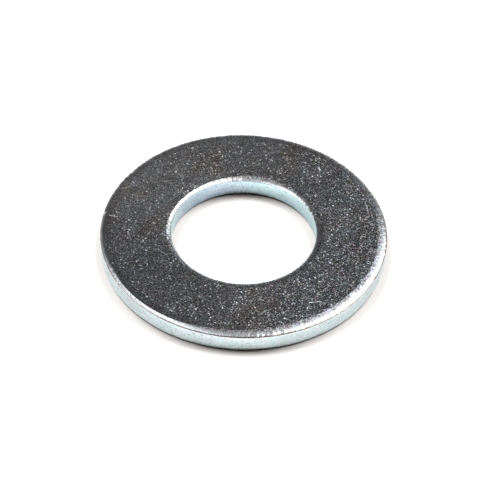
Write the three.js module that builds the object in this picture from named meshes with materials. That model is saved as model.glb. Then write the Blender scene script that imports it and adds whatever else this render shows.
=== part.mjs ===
// Flat washer for a 3/8 inch bolt: one ring, blanked and pierced from steel sheet and zinc plated.
// Units are millimetres and +Z is up. The origin is on the bore's axis, in the lower bearing face.
import * as THREE from 'three';

// Driving dimensions
const outerDiameter = 20.62;
const boreDiameter = 10.43;
const thickness = 1.55;

// The punch and die drag the sheet down before they cut it, so both upper edges are rolled over.
// A roll is tangent to the upper face and meets its upright wall at a corner.
const outerRoll = { width: 0.8, depth: 0.2 };
const boreRoll = { width: 0.56, depth: 0.17 };
const rollCornerAngle = THREE.MathUtils.degToRad(20);

// Tumbling and plating leave a small round on the two lower edges.
const lowerEdgeRadius = 0.2;

// Fineness of the facets
const stepsAround = 96;
const stepsAlongRoll = 7;
const stepsAlongLowerEdge = 3;

const plateColour = 0x9a9b9c;

// Directions in the section's plane, where the radius runs to the right and the height runs up
const up = Math.PI / 2;
const left = Math.PI;
const down = 1.5 * Math.PI;
const right = 2 * Math.PI;

const outerRadius = outerDiameter / 2;
const boreRadius = boreDiameter / 2;

// Points of an anticlockwise elliptical arc, from one direction to another
function arc(centreX, centreY, radiusX, radiusY, from, to, steps) {
  return new THREE.EllipseCurve(centreX, centreY, radiusX, radiusY, from, to).getPoints(steps);
}

// A roll's ellipse is larger than the roll, because the arc stops short of its upright end.
function rollArc(roll, centreX, from, to) {
  const radiusX = roll.width / Math.cos(rollCornerAngle);
  const radiusY = roll.depth / (1 - Math.sin(rollCornerAngle));
  return arc(centreX, thickness - radiusY, radiusX, radiusY, from, to, stepsAlongRoll);
}

function lowerEdgeArc(centreX, from, to) {
  const radius = lowerEdgeRadius;
  return arc(centreX, radius, radius, radius, from, to, stepsAlongLowerEdge);
}

// The ring's section, anticlockwise from the bore's lower edge and closed on its first point
function sectionOutline() {
  const outline = [
    ...lowerEdgeArc(boreRadius + lowerEdgeRadius, left, down),
    ...lowerEdgeArc(outerRadius - lowerEdgeRadius, down, right),
    ...rollArc(outerRoll, outerRadius - outerRoll.width, rollCornerAngle, up),
    ...rollArc(boreRoll, boreRadius + boreRoll.width, up, left - rollCornerAngle),
  ];
  return [...outline, outline[0].clone()];
}

function flatWasher() {
  const geometry = new THREE.LatheGeometry(sectionOutline(), stepsAround);
  geometry.rotateX(Math.PI / 2);
  const zincPlate = new THREE.MeshStandardMaterial({
    color: plateColour,
    roughness: 0.4,
    metalness: 1,
  });
  const mesh = new THREE.Mesh(geometry, zincPlate);
  mesh.name = 'flat_washer';
  return mesh;
}

const washer = new THREE.Group();
washer.add(flatWasher());

export default washer;
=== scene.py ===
"""Flat washer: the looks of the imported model, in Blender 4.5.

Lengths are metres, or millimetres where a comment says so. Angles are degrees unless a comment says radians.
Azimuth 0 is +X and 90 is +Y.
"""
import math
import random
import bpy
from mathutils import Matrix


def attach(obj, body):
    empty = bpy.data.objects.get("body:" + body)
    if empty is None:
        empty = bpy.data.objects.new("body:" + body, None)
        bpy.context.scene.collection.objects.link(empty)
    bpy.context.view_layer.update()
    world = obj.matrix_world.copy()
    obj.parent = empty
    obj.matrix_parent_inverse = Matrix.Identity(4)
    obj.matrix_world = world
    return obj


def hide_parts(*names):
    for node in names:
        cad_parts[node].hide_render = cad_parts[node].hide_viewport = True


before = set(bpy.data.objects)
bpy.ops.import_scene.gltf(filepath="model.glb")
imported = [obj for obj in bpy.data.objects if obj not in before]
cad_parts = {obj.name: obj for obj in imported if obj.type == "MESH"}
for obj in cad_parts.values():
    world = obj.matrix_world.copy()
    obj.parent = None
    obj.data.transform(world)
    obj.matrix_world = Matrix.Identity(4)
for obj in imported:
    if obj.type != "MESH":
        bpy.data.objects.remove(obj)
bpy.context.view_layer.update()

from types import SimpleNamespace

import bpy
from mathutils import Matrix, Vector, noise

MM = 0.001
NODE = "flat_washer"

# The view of the washer: the camera looks along +Y and down at it.
CAMERA_ELEVATION = 45.05
CAMERA_ROLL = 1.2
CAMERA_DISTANCE = 136.1 * MM
CAMERA_RIGHT = -0.258 * MM
CAMERA_UP = 0.302 * MM
CAMERA_CLIP = (1 * MM, 10)
SENSOR_WIDTH = 36
LENS = 141

# The studio. Each panel is azimuth, elevation, half width, half height, then the softness of its border, then
# its brightness. A later panel covers an earlier one.
ROOM_LEVEL = 0.45
BACKDROP_LEVEL = 1.0
PANELS = {
    "left_wall": (200, 42, 36, 36, 0.35, 1.2),
    "left_lamp": (192, 47, 15, 15, 0.4, 2.5),
    "camera_side": (270, 4, 50, 28, 0.3, 0.12),
    "dark_backdrop": (100, 40, 39, 28, 0.25, 0.089),
    "right_wall": (2, 50, 45, 31, 0.12, 2.2),
    "right_lamp": (8, 44, 22, 20, 0.4, 4.0),
    "low_right": (12, 0, 60, 25, 0.3, 0.5),
}

# Broad lamps for the floor: azimuth, elevation and spread, then irradiance and colour
FLOOR_LAMPS = {
    "back_left": (144, 52, 40, 3.6, (1, 1, 1)),
    "back_right": (35, 52, 40, 3.6, (1, 1, 1)),
    "overhead": (0, 90, 40, 0.42, (1, 0.90, 0.80)),
}
FLOOR_COLOUR = (0.90, 0.89, 0.88)
FLOOR_HALF_SIZE = 2.0
FLOOR_DEPTH = 0.01 * MM

# How finely the washer is meshed
STEPS_AROUND = 640
STEPS_ACROSS_FACE = 60
STEPS_ALONG_ROLL = 18
STEPS_UP_WALL = 12
STEPS_ALONG_LOWER_EDGE = 6
STEPS_ACROSS_UNDERSIDE = 10

# A roll's profile: the angle short of upright where its ellipse meets the wall, and the share of its depth
# that is a straight slope from the face
ROLL_CORNER = 20
ROLL_BREAK = 0.45

# Where each roll is narrower: azimuth and length of the stretch, then the share of the width that goes
NARROW_STRETCHES = {
    "outer": ((226, 38, 0.79), (105, 60, 0.5), (340, 60, 0.18)),
    "bore": ((140, 55, 0.62), (330, 90, 0.1)),
}
# Where the outer roll is shallowest, and the share of its depth that goes there
SHALLOW_AZIMUTH = 105
SHALLOWING = 0.45

# The face sags towards its edges, beyond the rolls: how far, and over what length
SAG = 0.02 * MM
SAG_LENGTH = 0.35 * MM

# Unevenness is smooth noise. In a roll's width, each row is a size, then a share of the width.
ROLL_WIDTH_WAVES = ((4 * MM, 0.06), (0.45 * MM, 0.05))
ROLL_WIDTH_SEEDS = {"outer": 3.0, "bore": 7.0}
# In the face, each row is a size, a height in millimetres and a seed.
FACE_RELIEF = ((2.6 * MM, 3e-3, 11.0), (0.7 * MM, 1.5e-3, 17.0), (0.28 * MM, 1.0e-3, 23.0))
# Streaks across the rolls: size, height in millimetres and seed, then how fast they change along the radius,
# as a share of their speed round the ring
ROLL_STREAK_SIZE = 0.3 * MM
ROLL_STREAK_HEIGHT = 5e-3
ROLL_STREAK_SEED = 5.0
ROLL_STREAK_DRIFT = 0.3
# The upper surface is lowered by this many millimetres, to keep its relief inside the CAD.
FACE_DROP = 5e-3

# Waviness of the sheared walls: each is a size, then a depth in millimetres. The streaks' drift is how fast
# they change up the wall, as a share of their speed round the ring.
WALL_WAVE = (3 * MM, 6e-3)
WALL_STREAK = (0.35 * MM, 2e-3)
WALL_STREAK_DRIFT = 0.2
WALL_TEAR = (0.3 * MM, 4e-3)
# The torn part of a wall: its top and the border under that, as shares of the thickness
TORN_BELOW = 0.55
TORN_BORDER = 0.1
WALL_SEEDS = {"outer": 31.0, "bore": 41.0}
# How far from a wall its waves and nicks are felt
WALL_REACH = 0.3 * MM

# Wear. Scratches and specks are scattered over the face, and nicks over both walls.
# Lengths, half widths and depths are millimetres.
WEAR_SEED = 12
SCRATCHES = 16
SCRATCH_LENGTH = (0.25, 1.1)
SPECKS = 14
SPECK_LENGTH = 0.05
# The square of how far across the ring a mark starts: 0 is the bore and 1 the outside
MARK_SPREAD = (0.1, 0.85)
MARK_HALF_WIDTH = (0.045, 0.07)
MARK_STRENGTH = (0.4, 1.1)
# A mark's ragged edge: its features per millimetre, then its border as shares of the half width
MARK_WOBBLE_SCALE = 6.0
MARK_BORDER = (1.5, 0.6)
NICKS = {"outer": 9, "bore": 5}
# Nicks' heights, as shares of the thickness
NICK_HEIGHT = (0.2, 0.9)
NICK_HALF_WIDTH = (0.09, 0.16)
NICK_DEPTH = (0.02, 0.06)

# Noises of the plating: features per millimetre, detail and roughness
NOISES = {
    "grain": (9.0, 2.0, 0.75),
    "coarse": (2.2, 3.0, 0.6),
    "patches": (0.45, 4.0, 0.6),
    "cool": (1.1, 3.0, 0.7),
    "lilac": (1.7, 3.0, 0.7),
    "brown": (0.38, 3.0, 0.6),
    "pits": (6.0, 1.0, 0.5),
    "wall_grain": (8.0, 3.0, 0.7),
}
# Between these two values lies most of a noise.
NOISE_SPAN = (0.3, 0.7)
# The plating's streaks across the rolls, then how fast they change along the radius, as a share of their
# speed round the ring
STREAKS = (6.0, 3.0, 0.7)
STREAK_DRIFT = 0.12

# The face's grain is crisp to one side, from first to full in millimetres, and half crisp about an azimuth.
# Where it is crisp, towards the lamps, the face's colour carries painted glints and its facets lean further.
CRISP_AZIMUTH = -25
CRISP_SPAN = (-1, 8)
HALF_CRISP_AZIMUTH = 220
HALF_CRISP = 0.6

# Painted shade across the face, a gradient that stands in for its reflection being brighter towards one side:
# its azimuth, its reach in millimetres, and the least and most
PAINTED_SHADE_AZIMUTH = 122
PAINTED_SHADE_REACH = 8
SHADE = (0.90, 1.10)
# Broad brighter and darker areas of the face: azimuth, then how bright the face is there
CLOUDS = ((212, 0.88), (75, 0.84), (136, 1.12))
# A cloud's outer and inner border, as cosines of the angle off its azimuth
CLOUD_BORDER = (0.5, 0.95)

# Brightness of the face over each noise's span: where the grain is soft, then where it is crisp
LEVEL = ((0.48, 0.60), (0.375, 0.49))
# Where the grain is crisp, the speckle's wider spread paints glints into the colour.
SPECKLE = ((0.45, 1.48), (0.0, 1.85))
SPECKLE_SPAN = (0.32, 0.68)
MOTTLE = ((0.70, 1.26), (0.88, 1.08))

# Colour of the face. Single cells of the plating differ a little, and whole areas are tinted. The first
# warmth and cell tint are where the grain is soft, and the second where it is crisp; the second's cooler
# warmth and stronger cell tint are painted glints.
WARMTH = ((0.94, 0.93, 0.92), (0.88, 0.90, 0.94))
CELL_TINT = (0.12, 0.20)
CELLS_PER_MM = 10.0
CELLS_OFFSET = (5, 5, 5)
AREA_TINTS = {
    "cool": ((0.42, 0.62), (0.93, 1.0, 1.04)),
    "lilac": ((0.46, 0.60), (1.02, 0.97, 1.03)),
    "brown": ((0.52, 0.66), (0.93, 0.87, 0.82)),
}
MARK_BRIGHTNESS = 0.4

# Facets of the plating lean every way, first where the grain is soft, then where it is crisp. The streaks
# lean on the rolls.
FLAKES_PER_MM = 13.0
FLAKE_LEAN = (1.65, 2.0)
FLAKE_LEAN_OFF_FACE = 0.5
STREAK_LEAN = 0.65
BUMP_DEPTH = 0.004 * MM
# The mean of a noise's or a cell's colour. Leans are measured from it.
MEAN_COLOUR = (0.5, 0.5, 0.5)

# Colour of the rolls and walls
ROLL_VALUE = (0.62, 0.85)
ROLL_TINT = (0.93, 0.98, 1.03)
WALL_COLOURS = ((0.57, 0.69, 0.71), (0.65, 0.72, 0.75))
WALL_MOTTLE_SPAN = (0.35, 0.65)
WALL_GRAIN = (0.82, 1.12)
WALL_PATCHES_SPAN = (0.35, 0.6)
WALL_PATCHES = (0.90, 1.02)
# Colour up each wall: from and to a height in millimetres, then the factor at either. The bore's is a cool
# tint, nearly the same low and high. The outer wall's is painted light: it is painted lighter low down,
# standing in for a brighter reflection of the floor.
BORE_SHADE = ((0.2, 1.1), (0.88, 1.01, 1.06), (0.89, 1.01, 1.04))
OUTER_WALL_PAINTED_LIGHT = ((0.3, 0.9), (1.22, 1.22, 1.22), (1, 1, 1))
# The bore's wall is stained about an azimuth. The span is the cosines of the angles off it.
STAIN_AZIMUTH = 125
STAIN_SPAN = (0.75, 0.95)
STAIN = (0.88, 0.83, 0.89)
PITS_SPAN = (0.63, 0.70)
PIT_STRENGTH = 0.5
PIT_COLOUR = (0.16, 0.20, 0.22)

# The thin brown line where the outer roll meets the wall is a painted dark reflection, standing in for the
# dark surroundings that corner mirrors. Its wobble and its border are millimetres.
LINE_WOBBLE = (-0.02, 0.02)
LINE_BORDER = (0.055, 0.02)
LINE_BREAKS_SPAN = (0.35, 0.55)
LINE_BREAKS = (0.65, 1.0)
PAINTED_LINE_COLOUR = (0.16, 0.09, 0.06)

# Roughness. A mark's is added to the face's.
WALL_ROUGHNESS = 0.32
ROLL_ROUGHNESS = 0.11
FACE_ROUGHNESS = (0.20, 0.32)
MARK_ROUGHNESS = 0.35

# Where the material changes. A roll's look starts and is full at these shares of its width from the wall.
ROLL_LOOK = (0.5, 0.1)
# The leaning flakes end this share of the outer roll's width outside the face.
FLAKES_END = 0.25
# The border between walls and upper surface reaches this far either way, in millimetres.
WALL_TOP_SOFTNESS = 0.01
# Bore half to outer half of the ring: the change keeps this far from either wall, in millimetres.
HALVES_MARGIN = 2


# ---------------------------------------------------------------- the washer's sizes, from the frame

def read_sizes():
    """The section's sizes, read from the CAD node's own vertices."""
    tolerance = 1e-6
    places = [v.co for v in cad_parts[NODE].data.vertices]
    points = [(math.hypot(p.x, p.y), p.z) for p in places]
    outer = max(r for r, z in points)
    bore = min(r for r, z in points)
    top = max(z for r, z in points)
    face = [r for r, z in points if z > top - tolerance]
    outer_wall = [z for r, z in points if r > outer - tolerance]
    bore_wall = [z for r, z in points if r < bore + tolerance]
    return {
        "outer": outer,
        "bore": bore,
        "top": top,
        "outer_roll_width": outer - max(face),
        "bore_roll_width": min(face) - bore,
        "outer_roll_depth": top - max(outer_wall),
        "bore_roll_depth": top - max(bore_wall),
        "lower_edge": min(outer_wall),
    }


SIZES = read_sizes()
SIZES_MM = {name: value / MM for name, value in SIZES.items()}


def direction(azimuth, elevation):
    """The unit vector at an azimuth and elevation."""
    a, e = math.radians(azimuth), math.radians(elevation)
    return Vector((math.cos(a) * math.cos(e), math.sin(a) * math.cos(e), math.sin(e)))


def clamped(value):
    """The value, kept between 0 and 1."""
    return min(1.0, max(0.0, value))


def ripple(x, y, z, size, seed=0.0):
    """Smooth noise between about -1 and 1, with features of the given size."""
    return noise.noise(Vector((x / size + seed, y / size - seed, z / size + 2 * seed)))


def ripple_round(angle, size, seed, along=0.0):
    """Smooth noise that changes round the ring's edge. The angle is in radians."""
    x = math.cos(angle) * SIZES["outer"]
    y = math.sin(angle) * SIZES["outer"]
    return ripple(x, y, along, size, seed)


# ---------------------------------------------------------------- the washer's mesh, with angles in radians

def drop(share):
    """How far a roll has dropped, from 0 to 1, at a share of its width."""
    corner = math.radians(ROLL_CORNER)
    ellipse = (1 - math.sqrt(1 - (share * math.cos(corner)) ** 2)) / (1 - math.sin(corner))
    return ROLL_BREAK * share + (1 - ROLL_BREAK) * ellipse


def roll_width(side, angle):
    """A roll's width. Punch and die sat off centre, so one side is narrower. The sheet's grain adds waves."""
    share = 1.0
    for azimuth, stretch, narrowing in NARROW_STRETCHES[side]:
        turn = math.remainder(math.degrees(angle) - azimuth, 360)
        share -= narrowing * math.exp(-(turn / stretch) ** 2)
    waves = 1
    for size, strength in ROLL_WIDTH_WAVES:
        waves += strength * ripple_round(angle, size, ROLL_WIDTH_SEEDS[side])
    return SIZES[side + "_roll_width"] * share * waves


def outer_roll_depth(angle):
    """The outer roll's depth: shallower on one side."""
    share = max(0, math.cos(angle - math.radians(SHALLOW_AZIMUTH))) ** 2
    return SIZES["outer_roll_depth"] * (1 - SHALLOWING * share)


def relief(radius, angle, on_roll):
    """Unevenness of the upper surface, in millimetres."""
    x = math.cos(angle) * radius
    y = math.sin(angle) * radius
    height = 0
    for size, strength, seed in FACE_RELIEF:
        height += strength * ripple(x, y, 0, size, seed)
    drift = radius * ROLL_STREAK_DRIFT
    streak = ripple_round(angle, ROLL_STREAK_SIZE, ROLL_STREAK_SEED, along=drift)
    return height + ROLL_STREAK_HEIGHT * streak * on_roll - FACE_DROP


def upper_height(radius, angle):
    """Height of the upper surface, rolls included."""
    s = SIZES
    outer_width = roll_width("outer", angle)
    bore_width = roll_width("bore", angle)
    outer_share = (radius - (s["outer"] - outer_width)) / outer_width
    bore_share = (s["bore"] + bore_width - radius) / bore_width
    height = s["top"]
    if outer_share > 0:
        height -= outer_roll_depth(angle) * drop(min(outer_share, 1))
    if bore_share > 0:
        height -= s["bore_roll_depth"] * drop(min(bore_share, 1))
    height -= SAG * math.exp((radius - s["outer"]) / SAG_LENGTH)
    height -= SAG * math.exp((s["bore"] - radius) / SAG_LENGTH)
    on_roll = clamped(2 * max(outer_share, bore_share))
    return height + relief(radius, angle, on_roll) * MM


def wall_inset(side, height, angle):
    """A sheared wall is wavy, and its torn lower part is rougher than its burnished upper part."""
    seed = WALL_SEEDS[side]
    torn = clamped((TORN_BELOW * SIZES["top"] - height) / (TORN_BORDER * SIZES["top"]))
    size, strength = WALL_WAVE
    inset = strength * (1 + ripple_round(angle, size, seed))
    size, strength = WALL_STREAK
    drift = height * WALL_STREAK_DRIFT
    inset += strength * (1 + ripple_round(angle, size, seed + 1, along=drift))
    size, strength = WALL_TEAR
    inset += strength * torn * (1 + ripple_round(angle, size, seed + 2, along=height))
    return inset * MM


def scattered_nicks(side):
    """Nicks at random places in one side's wall: angle, height, half width and depth of each."""
    chance = random.Random(WEAR_SEED + len(side))
    nicks = []
    for _ in range(NICKS[side]):
        angle = chance.uniform(0, 2 * math.pi)
        height = chance.uniform(*NICK_HEIGHT) * SIZES["top"]
        half_width = chance.uniform(*NICK_HALF_WIDTH) * MM
        depth = chance.uniform(*NICK_DEPTH) * MM
        nicks.append((angle, height, half_width, depth))
    return nicks


NICK_PLACES = {side: scattered_nicks(side) for side in NICKS}


def nick_depth(side, height, angle):
    """How deep the nicks in one side's wall go, at a height and angle."""
    depth = 0
    for nick_angle, nick_height, half_width, deepest in NICK_PLACES[side]:
        around = math.remainder(angle - nick_angle, 2 * math.pi) * SIZES[side]
        distance = math.hypot(around, height - nick_height) / half_width
        depth += deepest * math.exp(-distance ** 2)
    return depth


def lower_edge_rings(part, centre, start):
    """A quarter turn along a lower edge, anticlockwise from a direction in radians."""
    edge = SIZES["lower_edge"]
    rings = []
    for i in range(STEPS_ALONG_LOWER_EDGE):
        a = start + 0.5 * math.pi * i / STEPS_ALONG_LOWER_EDGE
        rings.append((part, centre + edge * math.cos(a), edge + edge * math.sin(a)))
    return rings


def roll_shares():
    """Shares of a roll's width, from its inner border to the wall, evenly spread along its arc."""
    full = math.pi / 2 - math.radians(ROLL_CORNER)
    steps = STEPS_ALONG_ROLL
    return [math.sin(full * i / steps) / math.sin(full) for i in range(steps + 1)]


def section_rings():
    """The section as rings of (part, radius, height), anticlockwise from the bore's lower edge."""
    s = SIZES
    edge = s["lower_edge"]
    rings = lower_edge_rings("bore_edge", s["bore"] + edge, math.pi)
    width = s["outer"] - s["bore"] - 2 * edge
    for i in range(STEPS_ACROSS_UNDERSIDE):
        rings.append(("under", s["bore"] + edge + i / STEPS_ACROSS_UNDERSIDE * width, 0))
    rings += lower_edge_rings("outer_edge", s["outer"] - edge, 1.5 * math.pi)
    wall_top = s["top"] - s["outer_roll_depth"] - SAG
    for i in range(STEPS_UP_WALL):
        rings.append(("outer_wall", s["outer"], edge + (wall_top - edge) * i / STEPS_UP_WALL))
    for share in roll_shares()[:0:-1]:
        rings.append(("upper", s["outer"] - s["outer_roll_width"] * (1 - share), None))
    inner = s["bore"] + s["bore_roll_width"]
    outer = s["outer"] - s["outer_roll_width"]
    for i in range(STEPS_ACROSS_FACE):
        rings.append(("upper", outer + (inner - outer) * i / STEPS_ACROSS_FACE, None))
    for share in roll_shares():
        rings.append(("upper", s["bore"] + s["bore_roll_width"] * (1 - share), None))
    wall_top = s["top"] - s["bore_roll_depth"] - SAG
    for i in range(1, STEPS_UP_WALL):
        rings.append(("bore_wall", s["bore"], wall_top + (edge - wall_top) * i / STEPS_UP_WALL))
    return rings


def surface_point(part, radius, height, angle):
    """A point of the washer's surface. A height of None is taken from the upper surface."""
    s = SIZES
    z = upper_height(radius, angle) if part == "upper" else height
    near_outer = clamped((radius - s["outer"]) / WALL_REACH + 1)
    near_bore = clamped((s["bore"] - radius) / WALL_REACH + 1)
    if part in ("upper", "outer_edge", "outer_wall"):
        radius -= near_outer * (wall_inset("outer", z, angle) + nick_depth("outer", z, angle))
    if part in ("upper", "bore_edge", "bore_wall"):
        radius += near_bore * (wall_inset("bore", z, angle) + nick_depth("bore", z, angle))
    return (radius * math.cos(angle), radius * math.sin(angle), z)


def washer_piece():
    """The washer's mesh: the section's rings, joined to one another all the way round."""
    rings = section_rings()
    points = []
    for part, radius, height in rings:
        for step in range(STEPS_AROUND):
            points.append(surface_point(part, radius, height, 2 * math.pi * step / STEPS_AROUND))
    faces = []
    for ring in range(len(rings)):
        after = (ring + 1) % len(rings)
        for step in range(STEPS_AROUND):
            turn = (step + 1) % STEPS_AROUND
            faces.append((
                ring * STEPS_AROUND + step,
                ring * STEPS_AROUND + turn,
                after * STEPS_AROUND + turn,
                after * STEPS_AROUND + step,
            ))
    mesh = bpy.data.meshes.new("washer")
    mesh.from_pydata(points, [], faces)
    mesh.validate()
    mesh.shade_smooth()
    piece = bpy.data.objects.new("washer", mesh)
    bpy.context.scene.collection.objects.link(piece)
    return piece


# ---------------------------------------------------------------- materials

class Nodes:
    """Adds nodes to a material or world, and links them."""

    # Sockets of the Mix node for each kind of data: share, first, second and result
    MIX_SOCKETS = {"FLOAT": (0, 2, 3, 0), "RGBA": (0, 6, 7, 2)}

    def __init__(self, owner):
        owner.use_nodes = True
        self.tree = owner.node_tree
        self.tree.nodes.clear()

    def add(self, kind, inputs=None, **settings):
        node = self.tree.nodes.new(kind)
        for name, value in settings.items():
            setattr(node, name, value)
        for name, value in (inputs or {}).items():
            socket = node.inputs[name]
            if isinstance(value, bpy.types.NodeSocket):
                self.tree.links.new(value, socket)
            else:
                socket.default_value = (*value, 1) if socket.type == "RGBA" else value
        return node

    def math(self, operation, first, second=0.0, clamp=False):
        node = self.add("ShaderNodeMath", {0: first, 1: second}, operation=operation, use_clamp=clamp)
        return node.outputs[0]

    def vector(self, operation, first, second=(0, 0, 0)):
        node = self.add("ShaderNodeVectorMath", {0: first, 1: second}, operation=operation)
        return node.outputs["Value" if operation in ("DOT_PRODUCT", "LENGTH") else "Vector"]

    def scaled(self, vector, factor):
        node = self.add("ShaderNodeVectorMath", {0: vector, "Scale": factor}, operation="SCALE")
        return node.outputs["Vector"]

    def towards(self, vector, azimuth):
        """How far a vector reaches towards an azimuth."""
        return self.vector("DOT_PRODUCT", vector, direction(azimuth, 0))

    def mapped(self, value, span, results=(0.0, 1.0)):
        """The value, mapped from a span to a pair of results and kept between them."""
        low, high = span
        to_low, to_high = results
        inputs = {"Value": value, "From Min": low, "From Max": high, "To Min": to_low, "To Max": to_high}
        return self.add("ShaderNodeMapRange", inputs).outputs["Result"]

    def mixed(self, data_type, share, first, second, **settings):
        share_socket, first_socket, second_socket, result = self.MIX_SOCKETS[data_type]
        inputs = {share_socket: share, first_socket: first, second_socket: second}
        return self.add("ShaderNodeMix", inputs, data_type=data_type, **settings).outputs[result]

    def blend(self, share, first, second):
        """From a first number to a second."""
        return self.mixed("FLOAT", share, first, second)

    def mix(self, share, first, second):
        """From a first colour to a second."""
        return self.mixed("RGBA", share, first, second)

    def tinted(self, share, colour, tint):
        """From a colour to its product with a tint."""
        return self.mixed("RGBA", share, colour, tint, blend_type="MULTIPLY")

    def noise(self, vector, scale, detail=2.0, roughness=0.5):
        inputs = {"Vector": vector, "Scale": scale, "Detail": detail, "Roughness": roughness}
        return self.add("ShaderNodeTexNoise", inputs)

    def cells(self, vector, scale):
        """A random colour for each cell."""
        return self.add("ShaderNodeTexVoronoi", {"Vector": vector, "Scale": scale}).outputs["Color"]


def place_on_washer(n):
    """Where a place is on the washer, in millimetres, and the plating's noises there."""
    at = SimpleNamespace()
    at.mm = n.scaled(n.add("ShaderNodeTexCoord").outputs["Object"], 1 / MM)
    at.height = n.add("ShaderNodeSeparateXYZ", {0: at.mm}).outputs["Z"]
    at.flat = n.vector("MULTIPLY", at.mm, (1, 1, 0))
    at.outward = n.vector("NORMALIZE", at.flat)
    at.radius = n.vector("LENGTH", at.flat)
    at.noise = {name: n.noise(at.mm, *settings).outputs["Fac"] for name, settings in NOISES.items()}
    return at


def tell_upper_from_walls(n, at):
    """Adds to a place how far from 0 to 1 it is on the ring's outer half and on its upper surface."""
    s = SIZES_MM
    sag = SAG / MM
    at.outside = n.mapped(at.radius, (s["bore"] + HALVES_MARGIN, s["outer"] - HALVES_MARGIN))
    shallow = n.math("MAXIMUM", n.towards(at.outward, SHALLOW_AZIMUTH), 0.0)
    shallow = n.math("MULTIPLY", n.math("MULTIPLY", shallow, shallow), SHALLOWING * s["outer_roll_depth"])
    outer_wall_top = n.math("ADD", shallow, s["top"] - s["outer_roll_depth"] - sag)
    bore_wall_top = s["top"] - s["bore_roll_depth"] - sag
    wall_top = n.blend(at.outside, bore_wall_top, outer_wall_top)
    at.above_wall = n.math("SUBTRACT", at.height, wall_top)
    at.upper = n.mapped(at.above_wall, (-WALL_TOP_SOFTNESS, WALL_TOP_SOFTNESS))


def tell_rolls_from_face(n, at):
    """Adds to a place how far from 0 to 1 it is on a roll, on the face and inside the outer roll."""
    s = SIZES_MM
    width = s["outer_roll_width"]
    on_outer_roll = n.mapped(at.radius, [s["outer"] - share * width for share in ROLL_LOOK])
    rim = s["outer"] - width
    inside_rim = n.mapped(at.radius, (rim + FLAKES_END * width, rim))
    width = s["bore_roll_width"]
    on_bore_roll = n.mapped(at.radius, [s["bore"] + share * width for share in ROLL_LOOK])
    at.roll = n.math("MAXIMUM", on_outer_roll, on_bore_roll)
    at.face = n.math("MULTIPLY", at.upper, n.math("SUBTRACT", 1.0, at.roll))
    at.flaky = n.math("MULTIPLY", inside_rim, at.face)


def painted_glints_and_crispness(n, at):
    """How crisp the face's grain is, from 0 to 1. Crisp grain, towards the lamps, carries painted glints in
    the face's colour.
    """
    crisp = n.mapped(n.towards(at.mm, CRISP_AZIMUTH), CRISP_SPAN)
    half_crisp = n.mapped(n.towards(at.outward, HALF_CRISP_AZIMUTH), CLOUD_BORDER, (0.0, HALF_CRISP))
    return n.math("MAXIMUM", crisp, half_crisp)


def streak_noise(n, at):
    """Fine streaks across the rolls."""
    around = n.scaled(at.outward, SIZES_MM["outer"])
    return n.noise(n.vector("ADD", around, n.scaled(at.mm, STREAK_DRIFT)), *STREAKS)


def leaning_normal(n, at, crisp, streaks):
    """Facets of the plating lean every way, a few of them far, and streaks lean on the rolls."""
    lean = n.vector("SUBTRACT", n.cells(at.mm, FLAKES_PER_MM), MEAN_COLOUR)
    lean = n.vector("MULTIPLY", lean, n.vector("MULTIPLY", lean, lean))
    lean = n.scaled(lean, n.blend(at.flaky, FLAKE_LEAN_OFF_FACE, n.blend(crisp, *FLAKE_LEAN)))
    streak_lean = n.vector("SUBTRACT", streaks.outputs["Color"], MEAN_COLOUR)
    on_roll = n.math("MULTIPLY", at.roll, n.math("MULTIPLY", at.upper, STREAK_LEAN))
    streak_lean = n.scaled(streak_lean, on_roll)
    normal = n.add("ShaderNodeNewGeometry").outputs["Normal"]
    normal = n.vector("NORMALIZE", n.vector("ADD", normal, n.vector("ADD", lean, streak_lean)))
    height = at.noise["coarse"]
    inputs = {"Strength": 1.0, "Distance": BUMP_DEPTH, "Height": height, "Normal": normal}
    return n.add("ShaderNodeBump", inputs).outputs["Normal"]


def grained(n, value, span, brightness, crisp):
    """A noise's brightness, where the grain is soft and where it is crisp."""
    (soft_low, soft_high), (crisp_low, crisp_high) = brightness
    return n.mapped(value, span, (n.blend(crisp, soft_low, crisp_low), n.blend(crisp, soft_high, crisp_high)))


def face_painted_shade_and_clouds(n, at):
    """Painted shade across the face, a gradient that stands in for its reflection, and broad brighter and
    darker areas.
    """
    shade = n.mapped(n.towards(at.mm, PAINTED_SHADE_AZIMUTH), (-PAINTED_SHADE_REACH, PAINTED_SHADE_REACH), SHADE)
    for azimuth, brightness in CLOUDS:
        cloud = n.mapped(n.towards(at.outward, azimuth), CLOUD_BORDER, (1.0, brightness))
        shade = n.math("MULTIPLY", shade, cloud)
    return shade


def face_colour(n, at, crisp, marked):
    """The face: grey plating with grain, tinted cells and areas, and pale marks, with painted glints where
    the grain is crisp and painted shade across it.
    """
    patches = grained(n, at.noise["patches"], NOISE_SPAN, LEVEL, crisp)
    speckle = grained(n, at.noise["grain"], SPECKLE_SPAN, SPECKLE, crisp)
    mottle = grained(n, at.noise["coarse"], NOISE_SPAN, MOTTLE, crisp)
    # Painted shade: the level is made darker and lighter across the face.
    level = n.math("MULTIPLY", face_painted_shade_and_clouds(n, at), patches)
    value = n.math("MULTIPLY", level, n.math("MULTIPLY", speckle, mottle))
    value = n.math("ADD", value, n.math("MULTIPLY", marked, MARK_BRIGHTNESS), clamp=True)
    cells = n.cells(n.vector("ADD", at.mm, CELLS_OFFSET), CELLS_PER_MM)
    tint = n.vector("ADD", n.scaled(cells, n.blend(crisp, *CELL_TINT)), n.mix(crisp, *WARMTH))
    colour = n.scaled(tint, value)
    for name, (span, area_tint) in AREA_TINTS.items():
        colour = n.tinted(n.mapped(at.noise[name], span), colour, area_tint)
    return colour


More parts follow.
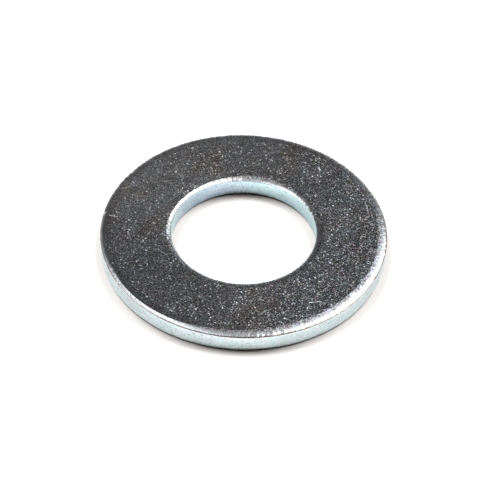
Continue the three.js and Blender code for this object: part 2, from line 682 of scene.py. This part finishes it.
def wall_colour(n, at):
    """The walls: pale burnished metal with a faint grain, a stain in the bore and dark pits, and painted
    light low on the outer wall.
    """
    colour = n.mix(n.mapped(at.noise["coarse"], WALL_MOTTLE_SPAN), *WALL_COLOURS)
    span, *shades = BORE_SHADE
    bore_shade = n.mix(n.mapped(at.height, span), *shades)
    stained = n.mapped(n.towards(at.outward, STAIN_AZIMUTH), STAIN_SPAN)
    bore_shade = n.tinted(stained, bore_shade, STAIN)
    # The outer wall is painted lighter low down: painted light standing in for a brighter reflection of the
    # floor.
    span, *shades = OUTER_WALL_PAINTED_LIGHT
    outer_wall_painted_light = n.mix(n.mapped(at.height, span), *shades)
    colour = n.vector("MULTIPLY", colour, n.mix(at.outside, bore_shade, outer_wall_painted_light))
    grain = n.mapped(at.noise["wall_grain"], NOISE_SPAN, WALL_GRAIN)
    patches = n.mapped(at.noise["patches"], WALL_PATCHES_SPAN, WALL_PATCHES)
    colour = n.scaled(colour, n.math("MULTIPLY", grain, patches))
    pits = n.mapped(at.noise["pits"], PITS_SPAN)
    return n.mix(n.math("MULTIPLY", pits, PIT_STRENGTH), colour, PIT_COLOUR)


def painted_corner_line(n, at):
    """Where the painted line runs between the outer roll and the wall, from 0 to 1: a thin brown line that
    stands in for the corner's dark reflection.
    """
    wobble = n.mapped(at.noise["grain"], NOISE_SPAN, LINE_WOBBLE)
    off_line = n.math("ABSOLUTE", n.math("ADD", at.above_wall, wobble))
    line = n.math("MULTIPLY", n.mapped(off_line, LINE_BORDER), at.outside)
    breaks = n.mapped(at.noise["coarse"], LINE_BREAKS_SPAN, LINE_BREAKS)
    return n.math("MULTIPLY", line, breaks)


def scattered_marks():
    """Scratches and specks at random places on the face: start, span, half width and strength, in mm."""
    chance = random.Random(WEAR_SEED)
    lengths = [chance.uniform(*SCRATCH_LENGTH) for _ in range(SCRATCHES)]
    lengths += [SPECK_LENGTH] * SPECKS
    scattered = []
    for length in lengths:
        share = math.sqrt(chance.uniform(*MARK_SPREAD))
        radius = (SIZES["bore"] + share * (SIZES["outer"] - SIZES["bore"])) / MM
        start = direction(chance.uniform(0, 360), 0) * radius
        span = direction(chance.uniform(0, 360), 0) * length
        half_width = chance.uniform(*MARK_HALF_WIDTH)
        strength = chance.uniform(*MARK_STRENGTH)
        scattered.append((start, span, half_width, strength))
    return scattered


def marks(n, at):
    """Where the face has scratches and specks: 0 off them, up to their strength on them."""
    wobble = n.noise(at.mm, MARK_WOBBLE_SCALE).outputs["Fac"]
    total = 0.0
    for start, span, half_width, strength in scattered_marks():
        from_start = n.vector("SUBTRACT", at.flat, start)
        reach = n.vector("DOT_PRODUCT", from_start, span)
        along = n.math("DIVIDE", reach, span.length_squared, clamp=True)
        off = n.vector("LENGTH", n.vector("SUBTRACT", from_start, n.scaled(span, along)))
        off = n.math("ADD", off, n.math("MULTIPLY", wobble, half_width))
        border = [share * half_width for share in MARK_BORDER]
        total = n.math("MAXIMUM", total, n.mapped(off, border, (0.0, strength)))
    return total


def zinc_material():
    """Bright zinc plate: a grainy, glittering face, smoother rolls and pale, faintly pitted walls. Painted
    light is on it too: glints and shade across the face, a dark reflection along the outer corner and a
    lighter lower outer wall.
    """
    material = bpy.data.materials.new("zinc_plate")
    n = Nodes(material)
    at = place_on_washer(n)
    tell_upper_from_walls(n, at)
    tell_rolls_from_face(n, at)
    crisp = painted_glints_and_crispness(n, at)
    streaks = streak_noise(n, at)
    marked = marks(n, at)
    roll_colour = n.scaled(ROLL_TINT, n.mapped(streaks.outputs["Fac"], NOISE_SPAN, ROLL_VALUE))
    colour = n.mix(at.face, roll_colour, face_colour(n, at, crisp, marked))
    colour = n.mix(at.upper, wall_colour(n, at), colour)
    # A painted dark reflection: a thin brown line along the outer corner.
    colour = n.mix(painted_corner_line(n, at), colour, PAINTED_LINE_COLOUR)
    face_rough = n.mapped(at.noise["grain"], NOISE_SPAN, FACE_ROUGHNESS)
    rough = n.blend(at.face, n.blend(at.upper, WALL_ROUGHNESS, ROLL_ROUGHNESS), face_rough)
    rough = n.math("ADD", rough, n.math("MULTIPLY", marked, n.math("MULTIPLY", at.face, MARK_ROUGHNESS)))
    surface = n.add("ShaderNodeBsdfPrincipled", {
        "Base Color": colour,
        "Metallic": 1.0,
        "Roughness": rough,
        "Normal": leaning_normal(n, at, crisp, streaks),
    })
    n.add("ShaderNodeOutputMaterial", {"Surface": surface.outputs[0]})
    return material


def floor_material():
    """Plain white, without gloss."""
    material = bpy.data.materials.new("floor_white")
    n = Nodes(material)
    surface = n.add("ShaderNodeBsdfDiffuse", {"Color": FLOOR_COLOUR})
    n.add("ShaderNodeOutputMaterial", {"Surface": surface.outputs[0]})
    return material


# ---------------------------------------------------------------- studio

def floor():
    """A wide floor, just below the washer."""
    half = FLOOR_HALF_SIZE
    mesh = bpy.data.meshes.new("floor")
    corners = [(x, y, -FLOOR_DEPTH) for x, y in ((-half, -half), (half, -half), (half, half), (-half, half))]
    mesh.from_pydata(corners, [], [(0, 1, 2, 3)])
    mesh.materials.append(floor_material())
    plane = bpy.data.objects.new("floor", mesh)
    bpy.context.scene.collection.objects.link(plane)


def panel(n, towards, azimuth, elevation, half_width, half_height, softness):
    """Where the studio holds an oval panel: 1 inside it, 0 outside, with a soft border."""
    barely_ahead = 1e-3
    centre = direction(azimuth, elevation)
    side = direction(azimuth + 90, 0)
    above = centre.cross(side)
    ahead = n.math("MAXIMUM", n.vector("DOT_PRODUCT", towards, centre), barely_ahead)
    across = n.math("DIVIDE", n.vector("DOT_PRODUCT", towards, side), ahead)
    upward = n.math("DIVIDE", n.vector("DOT_PRODUCT", towards, above), ahead)
    across = n.math("DIVIDE", across, math.tan(math.radians(half_width)))
    upward = n.math("DIVIDE", upward, math.tan(math.radians(half_height)))
    square = n.math("ADD", n.math("MULTIPLY", across, across), n.math("MULTIPLY", upward, upward))
    return n.mapped(n.math("SQRT", square), (1 + softness, 1 - softness))


def studio_world():
    """The panels that the metal mirrors, and an even backdrop for the camera. It doesn't light the floor."""
    world = bpy.data.worlds.new("studio")
    bpy.context.scene.world = world
    n = Nodes(world)
    towards = n.add("ShaderNodeTexCoord").outputs["Generated"]
    level = ROOM_LEVEL
    for *placing, brightness in PANELS.values():
        level = n.blend(panel(n, towards, *placing), level, brightness)
    room = n.add("ShaderNodeBackground", {"Color": (1, 1, 1), "Strength": level})
    backdrop = n.add("ShaderNodeBackground", {"Color": (1, 1, 1), "Strength": BACKDROP_LEVEL})
    seen = n.add("ShaderNodeLightPath").outputs["Is Camera Ray"]
    mixed = n.add("ShaderNodeMixShader", {0: seen, 1: room.outputs[0], 2: backdrop.outputs[0]})
    n.add("ShaderNodeOutputWorld", {"Surface": mixed.outputs[0]})
    world.cycles_visibility.diffuse = False


def floor_lamp(name, azimuth, elevation, spread, irradiance, colour):
    """A broad lamp that lights the floor and casts shadows. The metal mirrors the studio's panels instead."""
    data = bpy.data.lights.new(name, "SUN")
    data.angle = math.radians(spread)
    data.energy = irradiance
    data.color = colour
    lamp = bpy.data.objects.new(name, data)
    lamp.rotation_euler = direction(azimuth, elevation).to_track_quat("Z", "Y").to_euler()
    lamp.visible_glossy = False
    bpy.context.scene.collection.objects.link(lamp)


def camera():
    """The camera, aimed past the origin by a small offset and rolled a little."""
    data = bpy.data.cameras.new("camera")
    data.sensor_width = SENSOR_WIDTH
    data.lens = LENS
    data.clip_start, data.clip_end = CAMERA_CLIP
    cam = bpy.data.objects.new("camera", data)
    elevation = math.radians(CAMERA_ELEVATION)
    roll = math.radians(CAMERA_ROLL)
    right = Vector((1, 0, 0))
    up = Vector((0, math.sin(elevation), math.cos(elevation)))
    back = right.cross(up)
    rolled_right = right * math.cos(roll) + up * math.sin(roll)
    rolled_up = up * math.cos(roll) - right * math.sin(roll)
    turn = Matrix((rolled_right, rolled_up, back)).transposed().to_4x4()
    place = right * CAMERA_RIGHT + up * CAMERA_UP + back * CAMERA_DISTANCE
    cam.matrix_world = Matrix.Translation(place) @ turn
    bpy.context.scene.collection.objects.link(cam)
    bpy.context.scene.camera = cam


# ---------------------------------------------------------------- the scene

camera()
studio_world()
for lamp_name, settings in FLOOR_LAMPS.items():
    floor_lamp(lamp_name, *settings)
floor()
bpy.context.scene.view_settings.view_transform = "Standard"
bpy.context.scene.cycles.caustics_reflective = False

washer = washer_piece()
washer.data.materials.append(zinc_material())
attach(washer, "root")
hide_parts(NODE)
